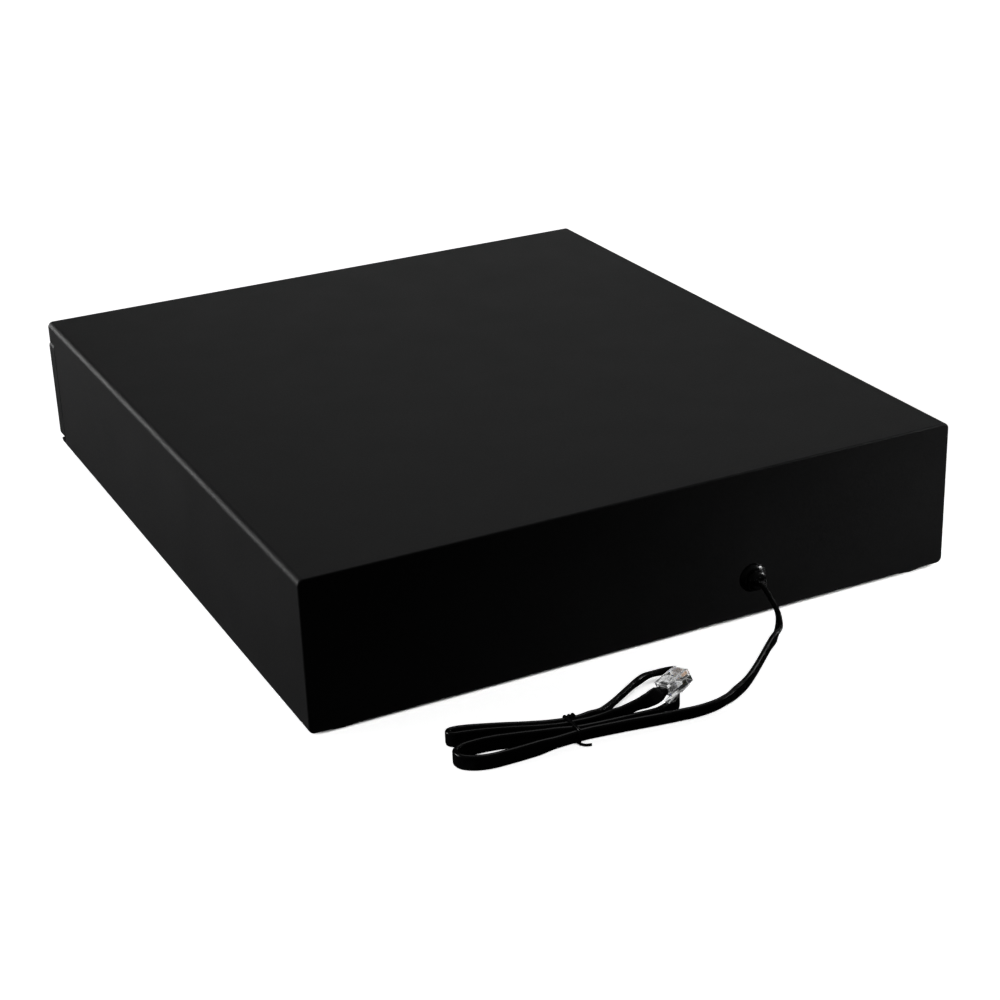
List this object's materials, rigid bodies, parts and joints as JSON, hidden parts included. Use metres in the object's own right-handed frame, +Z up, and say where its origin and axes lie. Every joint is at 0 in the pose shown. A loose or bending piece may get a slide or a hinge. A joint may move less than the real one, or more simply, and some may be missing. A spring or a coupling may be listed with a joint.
{
  "type": "cash drawer",
  "caption": "Low black steel case with a sliding till drawer, a key lock, a sprung solenoid latch and a flat lead tied in a hank with a modular plug.",
  "frame": {"origin": "on the surface it rests on, below the middle of the drawer without its lead", "axes": "+Z up, the drawer opens towards -Y, +X is the right side seen from the front"},
  "size_m": [0.33, 0.4533, 0.075],
  "materials": {
    "powder_coat": "fine texture",
    "zinc_steel": "satin",
    "spring_steel": "bright",
    "black_plastic": "matte",
    "white_nylon": "satin",
    "black_rubber": "matte",
    "black_pvc": "satin",
    "clear_plastic": "clear",
    "chrome": "polished",
    "coil_wrap": "satin"
  },
  "bodies": {
    "case": {"top_cover": "powder_coat", "base_pan": "powder_coat", "foot_front_left": "black_rubber", "foot_front_right": "black_rubber", "foot_rear_left": "black_rubber", "foot_rear_right": "black_rubber", "lock_keeper": "zinc_steel", "case_rail_left": "zinc_steel", "case_rail_right": "zinc_steel", "case_roller_pin_left": "spring_steel", "case_roller_pin_right": "spring_steel", "latch_bracket": "zinc_steel", "latch_pivot_pin": "spring_steel", "latch_spring": "spring_steel", "solenoid_frame": "zinc_steel", "solenoid_coil": "coil_wrap", "micro_switch": "black_plastic", "ejector_guide": "zinc_steel", "ejector_spring": "spring_steel", "inner_harness": "black_pvc", "cable_grommet": "black_plastic", "cord_lead": "black_pvc", "cord_hank": "black_pvc", "cord_tie": "black_pvc", "cord_tail": "black_pvc", "modular_plug": "clear_plastic"},
    "drawer": {"drawer_front": "powder_coat", "drawer_pan": "powder_coat", "striker": "zinc_steel", "drawer_rail_left": "zinc_steel", "drawer_rail_right": "zinc_steel", "drawer_roller_pin_left": "spring_steel", "drawer_roller_pin_right": "spring_steel", "lock_housing": "chrome", "lock_nut": "zinc_steel", "till_tray": "black_plastic", "coin_tray": "black_plastic", "clip_rod": "spring_steel", "bill_divider_1": "black_plastic", "bill_divider_2": "black_plastic", "bill_divider_3": "black_plastic", "clip_spring_1": "spring_steel", "clip_spring_2": "spring_steel", "clip_spring_3": "spring_steel", "clip_spring_4": "spring_steel"},
    "case_roller_left": {"case_roller_left": "white_nylon"},
    "case_roller_right": {"case_roller_right": "white_nylon"},
    "drawer_roller_left": {"drawer_roller_left": "white_nylon"},
    "drawer_roller_right": {"drawer_roller_right": "white_nylon"},
    "latch": {"latch_lever": "zinc_steel"},
    "plunger": {"solenoid_plunger": "spring_steel"},
    "switch": {"switch_lever": "spring_steel"},
    "ejector": {"ejector_cap": "white_nylon"},
    "lock": {"lock_plug": "chrome", "lock_cam": "zinc_steel"},
    "clip_1": {"bill_clip_1": "black_plastic"},
    "clip_2": {"bill_clip_2": "black_plastic"},
    "clip_3": {"bill_clip_3": "black_plastic"},
    "clip_4": {"bill_clip_4": "black_plastic"}
  },
  "joints": [
    {"name": "drawer_slide", "type": "slide", "parent": "case", "child": "drawer", "axis": [0, -1, 0], "range_m": [0, 0.28]},
    {"name": "case_roller_left_turn", "type": "hinge", "parent": "case", "child": "case_roller_left", "pos_m": [-0.1557, -0.165, 0.0215], "axis": [1, 0, 0], "continuous": true},
    {"name": "drawer_roller_left_turn", "type": "hinge", "parent": "drawer", "child": "drawer_roller_left", "pos_m": [-0.1557, 0.133, 0.0215], "axis": [1, 0, 0], "continuous": true},
    {"name": "case_roller_right_turn", "type": "hinge", "parent": "case", "child": "case_roller_right", "pos_m": [0.1557, -0.165, 0.0215], "axis": [1, 0, 0], "continuous": true},
    {"name": "drawer_roller_right_turn", "type": "hinge", "parent": "drawer", "child": "drawer_roller_right", "pos_m": [0.1557, 0.133, 0.0215], "axis": [1, 0, 0], "continuous": true},
    {"name": "latch_hook", "type": "hinge", "parent": "case", "child": "latch", "pos_m": [0.004, 0.172, 0.022], "axis": [0, 0, 1], "range_deg": [0, 16], "stiffness_Nm_per_rad": 0.02, "deforming": ["latch_spring"]},
    {"name": "solenoid_pull", "type": "slide", "parent": "case", "child": "plunger", "axis": [1, 0, 0], "range_m": [0, 0.0033]},
    {"name": "switch_press", "type": "hinge", "parent": "case", "child": "switch", "pos_m": [-0.049, 0.1443, 0.0252], "axis": [0, 0, -1], "range_deg": [0, 10]},
    {"name": "ejector_push", "type": "slide", "parent": "case", "child": "ejector", "axis": [0, -1, 0], "range_m": [0, 0.0115], "deforming": ["ejector_spring"]},
    {"name": "lock_turn", "type": "hinge", "parent": "drawer", "child": "lock", "pos_m": [0, -0.18, 0.038], "axis": [0, -1, 0], "range_deg": [0, 90]},
    {"name": "bill_clip_1_lift", "type": "hinge", "parent": "drawer", "child": "clip_1", "pos_m": [-0.10988, 0.133, 0.052], "axis": [-1, 0, 0], "range_deg": [0, 50], "stiffness_Nm_per_rad": 0.02},
    {"name": "bill_clip_2_lift", "type": "hinge", "parent": "drawer", "child": "clip_2", "pos_m": [-0.03662, 0.133, 0.052], "axis": [-1, 0, 0], "range_deg": [0, 50], "stiffness_Nm_per_rad": 0.02},
    {"name": "bill_clip_3_lift", "type": "hinge", "parent": "drawer", "child": "clip_3", "pos_m": [0.03662, 0.133, 0.052], "axis": [-1, 0, 0], "range_deg": [0, 50], "stiffness_Nm_per_rad": 0.02},
    {"name": "bill_clip_4_lift", "type": "hinge", "parent": "drawer", "child": "clip_4", "pos_m": [0.10988, 0.133, 0.052], "axis": [-1, 0, 0], "range_deg": [0, 50], "stiffness_Nm_per_rad": 0.02}
  ],
  "couplings": [
    {"joint": "case_roller_left_turn", "follows": "drawer_slide", "rad_per_m": 125},
    {"joint": "drawer_roller_left_turn", "follows": "drawer_slide", "rad_per_m": 125},
    {"joint": "case_roller_right_turn", "follows": "drawer_slide", "rad_per_m": 125},
    {"joint": "drawer_roller_right_turn", "follows": "drawer_slide", "rad_per_m": 125},
    {"joint": "latch_hook", "follows": "solenoid_pull", "rad_per_m": 83.333},
    {"joint": "switch_press", "follows": "drawer_slide", "rad_per_m": 0.6},
    {"joint": "ejector_push", "follows": "drawer_slide", "ratio": 0.04}
  ]
}
